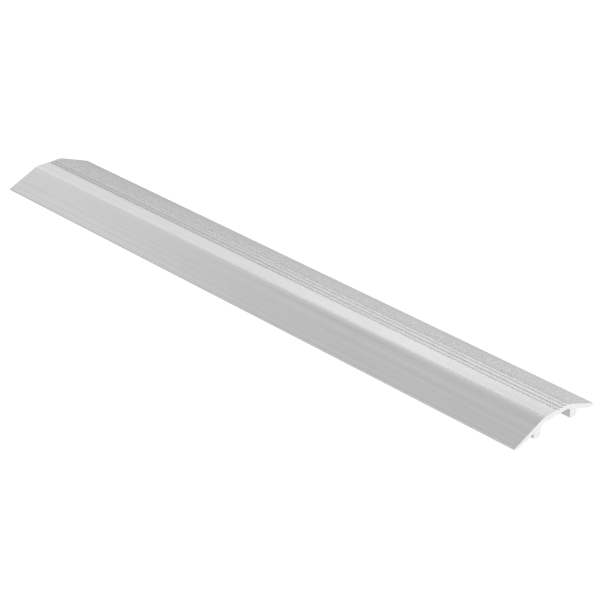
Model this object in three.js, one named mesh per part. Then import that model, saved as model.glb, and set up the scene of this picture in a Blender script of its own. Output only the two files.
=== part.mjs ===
// Door threshold strip: one aluminium extrusion that lies across a doorway.
// Its front ramp and the front half of its crown are smooth. The back half of the crown and
// most of the back ramp carry a row of low saw-like teeth, which give a shoe its grip.
// Two thick legs under the crown's edges and the flat toes of both ramps stand on the floor.
//
// Frame: +X along the strip, +Y towards the toothed side, +Z up, millimetres.
// The origin is on the floor under the middle of the strip.

import * as THREE from 'three';

// Overall size.
const LENGTH = 914;
const WIDTH = 136;
const HEIGHT = 21.6;

// Top: a level crown between two ramps.
const CROWN_WIDTH = 41;
const CROWN_EDGE_RADIUS = 18;
const TOE_HEIGHT = 2.3;
const TOE_RADIUS = 1;

// Underside: a level web under the crown, two legs, and wings that thin out towards the toes.
const CROWN_THICKNESS = 6.6;
const WING_DROP_AT_LEG = 6.7;
const TOE_FLAT = 8;
const TOE_HEEL_RADIUS = 3;
const LEG_CENTRE = 31;
const LEG_THICKNESS = 11;
const FOOT_RADIUS = 3;
const CHANNEL_FILLET = 6;
const WING_FILLET = 1.5;

// Teeth: their crests lie on the plain top surface, counted along it from the middle of the
// crown. Each falls slowly from its crest to its root and then rises steeply to the next crest.
// They are shallower where the ramp is thin.
const TOOTH_PITCH = 6.25;
const TOOTH_DEPTHS = [1.3, 1.3, 1.2, 0.6, 0.3, 0.25, 0.25, 0.2];
const TOOTH_RISE_SLOPE = 1;
const CREST_RADIUS = 0.5;
const ROOT_RADIUS = 0.3;

// How finely the curves are divided.
const ARC_STEP = THREE.MathUtils.degToRad(10);

const HALF_WIDTH = WIDTH / 2;
const HALF_CROWN = CROWN_WIDTH / 2;
const RAMP_ANGLE = Math.atan((HEIGHT - TOE_HEIGHT) / (HALF_WIDTH - HALF_CROWN));
const LEG_INNER = LEG_CENTRE - LEG_THICKNESS / 2;
const LEG_OUTER = LEG_CENTRE + LEG_THICKNESS / 2;

// The height of the ramp's plane at a distance from the middle of the strip.
function rampHeight(distance) {
  return HEIGHT - (distance - HALF_CROWN) * Math.tan(RAMP_ANGLE);
}

// A point `drop` below the plain top surface and square to it, `along` it from the middle.
// The surface is level, then turns down on the crown's edge radius, then is the ramp.
function topPoint(along, drop) {
  const level = HALF_CROWN - CROWN_EDGE_RADIUS * Math.tan(RAMP_ANGLE / 2);
  const turn = THREE.MathUtils.clamp((along - level) / CROWN_EDGE_RADIUS, 0, RAMP_ANGLE);
  const onLevel = Math.min(along, level);
  const onRamp = Math.max(along - level - CROWN_EDGE_RADIUS * turn, 0);
  const radius = CROWN_EDGE_RADIUS - drop;
  return [
    onLevel + radius * Math.sin(turn) + onRamp * Math.cos(turn),
    HEIGHT - CROWN_EDGE_RADIUS + radius * Math.cos(turn) - onRamp * Math.sin(turn),
  ];
}

// Corners of the row of teeth, from the crest where the smooth crown ends to the last crest.
function toothCorners() {
  const corners = [[...topPoint(0, 0), CREST_RADIUS]];
  TOOTH_DEPTHS.forEach((depth, index) => {
    const crest = (index + 1) * TOOTH_PITCH;
    const root = crest - depth / TOOTH_RISE_SLOPE;
    corners.push([...topPoint(root, depth), ROOT_RADIUS]);
    corners.push([...topPoint(crest, 0), CREST_RADIUS]);
  });
  return corners;
}

// Corners of one half of the underside, from the toe to the middle: distance, height, radius.
function undersideCorners() {
  const crownUnderside = HEIGHT - CROWN_THICKNESS;
  return [
    [HALF_WIDTH, 0, TOE_RADIUS],
    [HALF_WIDTH - TOE_FLAT, 0, TOE_HEEL_RADIUS],
    [LEG_OUTER, rampHeight(LEG_OUTER) - WING_DROP_AT_LEG, WING_FILLET],
    [LEG_OUTER, 0, FOOT_RADIUS],
    [LEG_INNER, 0, FOOT_RADIUS],
    [LEG_INNER, crownUnderside, CHANNEL_FILLET],
  ];
}

// The whole section as corners in order, clockwise as seen from the +X end.
function sectionCorners() {
  const smoothSide = [
    [-HALF_WIDTH, TOE_HEIGHT, TOE_RADIUS],
    [-HALF_CROWN, HEIGHT, CROWN_EDGE_RADIUS],
  ];
  const backToe = [[HALF_WIDTH, TOE_HEIGHT, TOE_RADIUS]];
  const backUnderside = undersideCorners();
  const frontUnderside = undersideCorners()
    .reverse()
    .map(([distance, height, radius]) => [-distance, height, radius]);
  return [...smoothSide, ...toothCorners(), ...backToe, ...backUnderside, ...frontUnderside];
}

// Points of the arc that rounds one corner and touches both of its sides.
function cornerArc(before, [y, z, radius], after) {
  const corner = new THREE.Vector2(y, z);
  const toBefore = new THREE.Vector2(before[0] - y, before[1] - z).normalize();
  const toAfter = new THREE.Vector2(after[0] - y, after[1] - z).normalize();
  const halfAngle = Math.acos(toBefore.dot(toAfter)) / 2;
  const inward = toBefore.clone().add(toAfter).normalize();
  const centre = corner.clone().addScaledVector(inward, radius / Math.sin(halfAngle));
  const start = corner.clone().addScaledVector(toBefore, radius / Math.tan(halfAngle));
  const end = corner.clone().addScaledVector(toAfter, radius / Math.tan(halfAngle));
  const startAngle = start.sub(centre).angle();
  const endAngle = end.sub(centre).angle();
  const sweep = Math.atan2(Math.sin(endAngle - startAngle), Math.cos(endAngle - startAngle));
  const steps = Math.ceil(Math.abs(sweep) / ARC_STEP);
  const points = [];
  for (let step = 0; step <= steps; step += 1) {
    const angle = startAngle + (sweep * step) / steps;
    const spoke = new THREE.Vector2(Math.cos(angle), Math.sin(angle));
    points.push(centre.clone().addScaledVector(spoke, radius));
  }
  return points;
}

function sectionShape() {
  const corners = sectionCorners();
  const count = corners.length;
  const points = corners.flatMap((corner, index) => {
    const before = corners[(index + count - 1) % count];
    const after = corners[(index + 1) % count];
    return cornerArc(before, corner, after);
  });
  return new THREE.Shape(points);
}

// The section is drawn across the strip (Y) and upwards (Z), and pushed along its length (X).
function thresholdProfile() {
  const geometry = new THREE.ExtrudeGeometry(sectionShape(), { depth: LENGTH, bevelEnabled: false });
  const material = new THREE.MeshStandardMaterial({
    color: 0xc9c9c9,
    roughness: 0.4,
    metalness: 1,
  });
  const mesh = new THREE.Mesh(geometry, material);
  const alongY = new THREE.Vector3(0, 1, 0);
  const alongZ = new THREE.Vector3(0, 0, 1);
  const alongX = new THREE.Vector3(1, 0, 0);
  const turn = new THREE.Matrix4().makeBasis(alongY, alongZ, alongX);
  mesh.quaternion.setFromRotationMatrix(turn);
  mesh.position.x = -LENGTH / 2;
  mesh.name = 'threshold_profile';
  return mesh;
}

const thresholdStrip = new THREE.Group();
thresholdStrip.add(thresholdProfile());

export default thresholdStrip;
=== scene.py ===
"""A door threshold strip: one aluminium extrusion lying on a lit white table.

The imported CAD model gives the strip's place and size. This script draws its section again with
fine arcs and filed end edges, and gives it its finish and its light.
Lengths are in metres unless a name ends in _MM.
"""

import math

import bpy
from mathutils import Matrix, Vector


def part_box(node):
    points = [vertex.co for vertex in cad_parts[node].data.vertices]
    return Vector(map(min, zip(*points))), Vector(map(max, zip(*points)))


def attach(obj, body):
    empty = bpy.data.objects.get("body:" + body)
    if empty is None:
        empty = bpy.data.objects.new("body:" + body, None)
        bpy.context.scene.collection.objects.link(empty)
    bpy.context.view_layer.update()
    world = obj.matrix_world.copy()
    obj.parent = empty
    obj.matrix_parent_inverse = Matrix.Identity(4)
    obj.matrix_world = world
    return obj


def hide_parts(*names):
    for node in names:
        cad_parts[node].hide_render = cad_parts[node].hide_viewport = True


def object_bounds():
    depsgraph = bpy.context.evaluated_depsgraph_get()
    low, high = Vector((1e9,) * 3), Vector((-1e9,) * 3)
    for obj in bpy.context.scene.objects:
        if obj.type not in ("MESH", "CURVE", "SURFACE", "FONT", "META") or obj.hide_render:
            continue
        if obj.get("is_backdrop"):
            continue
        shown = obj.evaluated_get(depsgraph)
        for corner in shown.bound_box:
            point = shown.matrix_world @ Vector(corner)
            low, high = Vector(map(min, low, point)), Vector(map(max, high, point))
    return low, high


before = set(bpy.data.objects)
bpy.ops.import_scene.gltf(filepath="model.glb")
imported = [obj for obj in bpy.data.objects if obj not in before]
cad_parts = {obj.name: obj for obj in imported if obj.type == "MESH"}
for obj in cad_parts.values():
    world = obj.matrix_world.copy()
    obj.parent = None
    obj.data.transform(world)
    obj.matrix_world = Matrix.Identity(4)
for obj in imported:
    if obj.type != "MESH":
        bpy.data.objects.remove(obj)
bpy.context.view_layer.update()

NODE = "threshold_profile"
MM = 0.001

# The section's own sizes. Its length, width and height come from the CAD node.
CROWN_WIDTH_MM = 41
CROWN_EDGE_RADIUS_MM = 18
TOE_HEIGHT_MM = 2.3
TOE_RADIUS_MM = 1
TOE_FLAT_MM = 8
TOE_HEEL_RADIUS_MM = 3
CROWN_THICKNESS_MM = 6.6
WING_DROP_AT_LEG_MM = 6.7
LEG_CENTRE_MM = 31
LEG_THICKNESS_MM = 11
FOOT_RADIUS_MM = 3
CHANNEL_FILLET_MM = 6
WING_FILLET_MM = 1.5

# The row of teeth, counted from the middle of the crown outwards along the surface. Each falls
# slowly from its crest to its root, and then rises steeply to the next crest.
TOOTH_PITCH_MM = 6.25
TOOTH_DEPTHS_MM = (1.3, 1.3, 1.2, 0.6, 0.3, 0.25, 0.25, 0.2)
TOOTH_RISE_SLOPE = 1
CREST_RADIUS_MM = 0.5
ROOT_RADIUS_MM = 0.3

# How finely the mesh follows its curves, and the filed edge round each end.
ARC_STEP = math.radians(3)
END_EDGE_MM = 0.3
END_EDGE_STEPS = 4

# Noise values spread over this range; the finish's tones and roughnesses are drawn from it.
NOISE_LOW = 0.3
NOISE_HIGH = 0.7

# The skin's marks, as (round the section, along the strip) in waves per metre.
DIE_LINES = (1400, 2.5, 0)
STREAKS = (240, 0.9, 0)
CLOUDS = (30, 9, 0)
SKIN_TONE = 0.53
SKIN_EDGE_TINT = 0.68

# The cut ends: the saw blade's centre in the section's plane, and its marks in waves per metre.
CUT_TONE = 0.87
SAW_CENTRE = (0, -0.06, -0.14)
SAW_ARCS = 2600
MOTTLE = 220

FLOOR_SIZE = 24
FLOOR_GAP = 0.0002
FLOOR_GLOW = 0.95
WORLD_STRENGTH = 0.67
SOFTBOX_DISTANCE = 5.0

# The camera's place, and the point on the table's plane that it looks towards.
LENS = 112.4
SENSOR_WIDTH = 36
AZIMUTH = math.radians(46.18)
ELEVATION = math.radians(28.49)
DISTANCE = 2.347
AIM_RIGHT = 0.03631
AIM_UP = -0.01736

low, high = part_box(NODE)
LENGTH_MM, WIDTH_MM, HEIGHT_MM = (high - low) / MM
HALF_WIDTH_MM = WIDTH_MM / 2
HALF_CROWN_MM = CROWN_WIDTH_MM / 2
RAMP_ANGLE = math.atan((HEIGHT_MM - TOE_HEIGHT_MM) / (HALF_WIDTH_MM - HALF_CROWN_MM))


# ---- The section, as points in Y and Z, in millimetres

def ramp_height(distance):
    """Height of the ramp's plane at a distance from the middle of the strip."""
    return HEIGHT_MM - (distance - HALF_CROWN_MM) * math.tan(RAMP_ANGLE)


def on_top(along, drop):
    """A point `drop` under the plain top surface, `along` it from the middle of the crown."""
    flat = HALF_CROWN_MM - CROWN_EDGE_RADIUS_MM * math.tan(RAMP_ANGLE / 2)
    turn = min(max((along - flat) / CROWN_EDGE_RADIUS_MM, 0), RAMP_ANGLE)
    curved = CROWN_EDGE_RADIUS_MM * turn
    level = min(along, flat)
    sloping = max(along - flat - curved, 0)
    y = level + CROWN_EDGE_RADIUS_MM * math.sin(turn) + sloping * math.cos(turn)
    z = HEIGHT_MM - CROWN_EDGE_RADIUS_MM * (1 - math.cos(turn)) - sloping * math.sin(turn)
    return Vector((y - drop * math.sin(turn), z - drop * math.cos(turn)))


def tooth_corners():
    """The teeth's crests and roots, each as (corner, radius)."""
    corners = [(on_top(0, 0), CREST_RADIUS_MM)]
    for tooth, depth in enumerate(TOOTH_DEPTHS_MM, start=1):
        crest = tooth * TOOTH_PITCH_MM
        root = crest - depth / TOOTH_RISE_SLOPE
        corners.append((on_top(root, depth), ROOT_RADIUS_MM))
        corners.append((on_top(crest, 0), CREST_RADIUS_MM))
    return corners


def underside_corners():
    """Half the underside, from a toe to the middle channel, each as (corner, radius)."""
    leg_inner = LEG_CENTRE_MM - LEG_THICKNESS_MM / 2
    leg_outer = LEG_CENTRE_MM + LEG_THICKNESS_MM / 2
    wing_bottom = ramp_height(leg_outer) - WING_DROP_AT_LEG_MM
    return [
        (Vector((HALF_WIDTH_MM, 0)), TOE_RADIUS_MM),
        (Vector((HALF_WIDTH_MM - TOE_FLAT_MM, 0)), TOE_HEEL_RADIUS_MM),
        (Vector((leg_outer, wing_bottom)), WING_FILLET_MM),
        (Vector((leg_outer, 0)), FOOT_RADIUS_MM),
        (Vector((leg_inner, 0)), FOOT_RADIUS_MM),
        (Vector((leg_inner, HEIGHT_MM - CROWN_THICKNESS_MM)), CHANNEL_FILLET_MM),
    ]


def section_corners():
    """The whole section's corners, clockwise as seen from the +X end."""
    back = [(Vector((HALF_WIDTH_MM, TOE_HEIGHT_MM)), TOE_RADIUS_MM)]
    front = [
        (Vector((-HALF_WIDTH_MM, TOE_HEIGHT_MM)), TOE_RADIUS_MM),
        (Vector((-HALF_CROWN_MM, HEIGHT_MM)), CROWN_EDGE_RADIUS_MM),
    ]
    under_back = underside_corners()
    under_front = [(Vector((-at.x, at.y)), radius) for at, radius in reversed(under_back)]
    return front + tooth_corners() + back + under_back + under_front


def rounded(before, corner, radius, after):
    """(point, outward normal) along the arc that rounds one corner of a clockwise outline."""
    into = (corner - before).normalized()
    out = (after - corner).normalized()
    turn = math.atan2(into.x * out.y - into.y * out.x, into.dot(out))
    side = 1 if turn < 0 else -1
    start = corner - into * radius * math.tan(abs(turn) / 2)
    normal = Vector((-into.y, into.x))
    centre = start - normal * radius * side
    steps = max(1, math.ceil(abs(turn) / ARC_STEP))
    arc = []
    for step in range(steps + 1):
        swung = Matrix.Rotation(turn * step / steps, 2) @ normal
        arc.append((centre + swung * radius * side, swung))
    return arc


def section_outline():
    """(point, outward normal) round the finished section."""
    corners = section_corners()
    outline = []
    for index, (corner, radius) in enumerate(corners):
        before = corners[index - 1][0]
        after = corners[(index + 1) % len(corners)][0]
        outline.extend(rounded(before, corner, radius, after))
    return outline


# ---- The strip's mesh

def end_rings():
    """(x, inset, tilt) of the rings from the -X end face round its filed edge to the skin."""
    rings = []
    for step in range(END_EDGE_STEPS + 1):
        tilt = math.pi / 2 * (1 - step / END_EDGE_STEPS)
        x = -LENGTH_MM / 2 + END_EDGE_MM * (1 - math.sin(tilt))
        inset = END_EDGE_MM * (1 - math.cos(tilt))
        rings.append((x, inset, -tilt))
    return rings


def arc_lengths(outline):
    """The distance round the outline at each of its points, and once more at the first."""
    lengths = [0]
    for index in range(len(outline)):
        here = outline[index][0]
        following = outline[(index + 1) % len(outline)][0]
        lengths.append(lengths[-1] + (following - here).length)
    return lengths


def build_strip():
    """The strip as one closed mesh. Its skin has UVs in metres: round the section, and along X."""
    outline = section_outline()
    around = arc_lengths(outline)
    count = len(outline)
    near = end_rings()
    rings = near + [(-x, inset, -tilt) for x, inset, tilt in reversed(near)]

    vertices = []
    normals = []
    for x, inset, tilt in rings:
        for point, outward in outline:
            at = point - outward * inset
            vertices.append((x * MM, at.x * MM, at.y * MM))
            level = math.cos(tilt)
            normals.append((math.sin(tilt), outward.x * level, outward.y * level))

    faces = []
    corner_uvs = []
    for ring in range(len(rings) - 1):
        first = ring * count
        x_here = rings[ring][0]
        x_next = rings[ring + 1][0]
        for i in range(count):
            j = (i + 1) % count
            faces.append((first + i, first + count + i, first + count + j, first + j))
            corner_uvs.extend([
                (around[i], x_here), (around[i], x_next),
                (around[i + 1], x_next), (around[i + 1], x_here),
            ])
    last = (len(rings) - 1) * count
    faces.append(tuple(range(count)))
    faces.append(tuple(last + i for i in reversed(range(count))))
    corner_uvs.extend(point for point, _ in outline)
    corner_uvs.extend(point for point, _ in reversed(outline))

    mesh = bpy.data.meshes.new("threshold_strip")
    mesh.from_pydata(vertices, [], faces)
    uv_map = mesh.uv_layers.new(name="profile")
    for loop, uv in enumerate(corner_uvs):
        uv_map.data[loop].uv = (uv[0] * MM, uv[1] * MM)
    mesh.polygons.foreach_set("use_smooth", [True] * len(faces))
    mesh.normals_split_custom_set_from_vertices(normals)

    skin_start = END_EDGE_STEPS * count
    for index, polygon in enumerate(mesh.polygons):
        polygon.material_index = 0 if skin_start <= index < skin_start + count else 1
    strip = bpy.data.objects.new("threshold_strip", mesh)
    bpy.context.scene.collection.objects.link(strip)
    return strip


# ---- Materials

class Graph:
    """A material's node tree, with short calls for the nodes used here."""

    def __init__(self, name):
        self.material = bpy.data.materials.new(name)
        self.material.use_nodes = True
        self.nodes = self.material.node_tree.nodes
        self.links = self.material.node_tree.links
        self.shader = self.nodes["Principled BSDF"]

    def add(self, kind, settings=None, inputs=None):
        node = self.nodes.new(kind)
        for name, value in (settings or {}).items():
            setattr(node, name, value)
        for name, value in (inputs or {}).items():
            if isinstance(value, bpy.types.NodeSocket):
                self.links.new(value, node.inputs[name])
            else:
                node.inputs[name].default_value = value
        return node

    def scaled(self, vector, scale):
        node = self.add("ShaderNodeVectorMath", {"operation": "MULTIPLY"}, {0: vector, 1: scale})
        return node.outputs[0]

    def noise(self, vector, detail=2.0, roughness=0.5):
        node = self.add("ShaderNodeTexNoise", {"noise_dimensions": "3D"}, {
            "Vector": vector, "Scale": 1.0, "Detail": detail, "Roughness": roughness,
        })
        return node.outputs["Fac"]

    def spread(self, noise, out_low, out_high):
        """A noise's usual range, stretched over out_low to out_high."""
        node = self.add("ShaderNodeMapRange", {"clamp": True}, {
            "Value": noise, "From Min": NOISE_LOW, "From Max": NOISE_HIGH,
            "To Min": out_low, "To Max": out_high,
        })
        return node.outputs["Result"]

    def math(self, operation, a, b):
        return self.add("ShaderNodeMath", {"operation": operation}, {0: a, 1: b}).outputs[0]

    def grey(self, value):
        node = self.add("ShaderNodeCombineColor", inputs={"Red": value, "Green": value, "Blue": value})
        return node.outputs["Color"]

    def set(self, name, value):
        if isinstance(value, bpy.types.NodeSocket):
            self.links.new(value, self.shader.inputs[name])
        else:
            self.shader.inputs[name].default_value = value


def extruded_aluminium():
    """Mill-finish aluminium: fine lines along the strip from the die, and faint wider streaks."""
    g = Graph("extruded_aluminium")
    profile = g.add("ShaderNodeUVMap", {"uv_map": "profile"}).outputs["UV"]
    lines = g.noise(g.scaled(profile, DIE_LINES), detail=3, roughness=0.6)
    streaks = g.noise(g.scaled(profile, STREAKS), detail=3, roughness=0.55)
    cloud = g.noise(g.scaled(profile, CLOUDS), detail=4, roughness=0.6)

    streak_tone = g.spread(streaks, 0.93, 1.06)
    line_tone = g.spread(lines, 0.98, 1.02)
    tone = g.math("MULTIPLY", streak_tone, line_tone)
    g.set("Base Color", g.grey(g.math("MULTIPLY", tone, SKIN_TONE)))
    g.set("Metallic", 1.0)
    streak_roughness = g.spread(streaks, 0.33, 0.39)
    cloud_roughness = g.spread(cloud, -0.02, 0.03)
    g.set("Roughness", g.math("ADD", streak_roughness, cloud_roughness))
    g.set("Specular Tint", (SKIN_EDGE_TINT, SKIN_EDGE_TINT, SKIN_EDGE_TINT, 1.0))
    g.set("Anisotropic", 0.5)
    tangent = g.add("ShaderNodeTangent", {"direction_type": "UV_MAP", "uv_map": "profile"})
    g.set("Tangent", tangent.outputs["Tangent"])
    bump = g.add("ShaderNodeBump", inputs={"Strength": 0.25, "Distance": 0.00003, "Height": lines})
    g.set("Normal", bump.outputs["Normal"])
    return g.material


def sawn_aluminium():
    """The cut ends: brighter and duller, with the saw blade's long arcs across them."""
    g = Graph("sawn_aluminium")
    place = g.add("ShaderNodeTexCoord").outputs["Object"]
    section = g.scaled(place, (0, 1, 1))
    reach = g.add("ShaderNodeVectorMath", {"operation": "DISTANCE"}, {0: section, 1: SAW_CENTRE})
    swept = g.add("ShaderNodeCombineXYZ", inputs={"X": reach.outputs["Value"]}).outputs["Vector"]
    arcs = g.noise(g.scaled(swept, (SAW_ARCS, 0, 0)), detail=3, roughness=0.6)
    mottle = g.noise(g.scaled(place, (MOTTLE, MOTTLE, MOTTLE)), detail=3)

    arc_tone = g.spread(arcs, 0.96, 1.03)
    mottle_tone = g.spread(mottle, 0.98, 1.02)
    tone = g.math("MULTIPLY", arc_tone, mottle_tone)
    g.set("Base Color", g.grey(g.math("MULTIPLY", tone, CUT_TONE)))
    g.set("Metallic", 1.0)
    g.set("Roughness", g.spread(arcs, 0.44, 0.56))
    bump = g.add("ShaderNodeBump", inputs={"Strength": 0.4, "Distance": 0.00005, "Height": arcs})
    g.set("Normal", bump.outputs["Normal"])
    return g.material


# ---- Stage, light and camera

def build_floor():
    """A wide white table top, lit from inside, so that it stays white under the strip."""
    bpy.ops.mesh.primitive_plane_add(size=FLOOR_SIZE, location=(0, 0, -FLOOR_GAP))
    floor = bpy.context.object
    floor.name = "floor"
    g = Graph("white_table")
    g.set("Base Color", (0.15, 0.15, 0.15, 1))
    g.set("Roughness", 0.9)
    g.set("Specular IOR Level", 0.0)
    g.set("Emission Color", (1, 1, 1, 1))
    g.set("Emission Strength", FLOOR_GLOW)
    floor.data.materials.append(g.material)
    floor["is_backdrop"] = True


def build_world():
    """An even grey surround."""
    world = bpy.data.worlds.new("studio")
    world.use_nodes = True
    world.node_tree.nodes["Background"].inputs["Color"].default_value = (1, 1, 1, 1)
    world.node_tree.nodes["Background"].inputs["Strength"].default_value = WORLD_STRENGTH
    bpy.context.scene.world = world


def direction(azimuth, elevation):
    """The unit vector towards a compass direction: azimuth 0 is -Y and 90 is +X, in degrees."""
    a = math.radians(azimuth)
    e = math.radians(elevation)
    return Vector((math.sin(a) * math.cos(e), -math.cos(a) * math.cos(e), math.sin(e)))


def softbox(name, azimuth, elevation, width, height, radiance):
    """A flat even light facing the strip. `radiance` is how bright it looks."""
    light = bpy.data.lights.new(name, "AREA")
    light.shape = "RECTANGLE"
    light.size = width
    light.size_y = height
    light.energy = radiance * math.pi * width * height
    lamp = bpy.data.objects.new(name, light)
    towards = direction(azimuth, elevation)
    lamp.location = towards * SOFTBOX_DISTANCE
    lamp.rotation_mode = "QUATERNION"
    lamp.rotation_quaternion = towards.to_track_quat("Z", "Y")
    bpy.context.scene.collection.objects.link(lamp)


def build_camera():
    """The camera, level from side to side, at its place in front of the strip's +X end."""
    back = direction(math.degrees(AZIMUTH), math.degrees(ELEVATION))
    right = Vector((math.cos(AZIMUTH), math.sin(AZIMUTH), 0))
    up = back.cross(right)
    data = bpy.data.cameras.new("camera")
    data.lens = LENS
    data.sensor_width = SENSOR_WIDTH
    camera = bpy.data.objects.new("camera", data)
    camera.location = right * AIM_RIGHT + up * AIM_UP + back * DISTANCE
    camera.rotation_mode = "QUATERNION"
    camera.rotation_quaternion = Matrix((right, up, back)).transposed().to_quaternion()
    bpy.context.scene.collection.objects.link(camera)
    bpy.context.scene.camera = camera


bpy.context.scene.view_settings.view_transform = "Standard"
strip = build_strip()
strip.data.materials.append(extruded_aluminium())
strip.data.materials.append(sawn_aluminium())
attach(strip, "root")
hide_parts(NODE)

build_floor()
build_world()
softbox("right_back", 190, 30, 1.8, 2.7, 3.1)
softbox("middle_back", 210, 22, 1.8, 1.3, 2.1)
softbox("left_back", 240, 30, 3.5, 2.7, 0.95)
softbox("back_high", 220, 57, 3.5, 1.3, 0.5)
softbox("left_side", 280, 30, 3.5, 2.7, 0.28)
softbox("front_left", 315, 47, 1.8, 2.6, 1.5)
build_camera()

low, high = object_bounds()
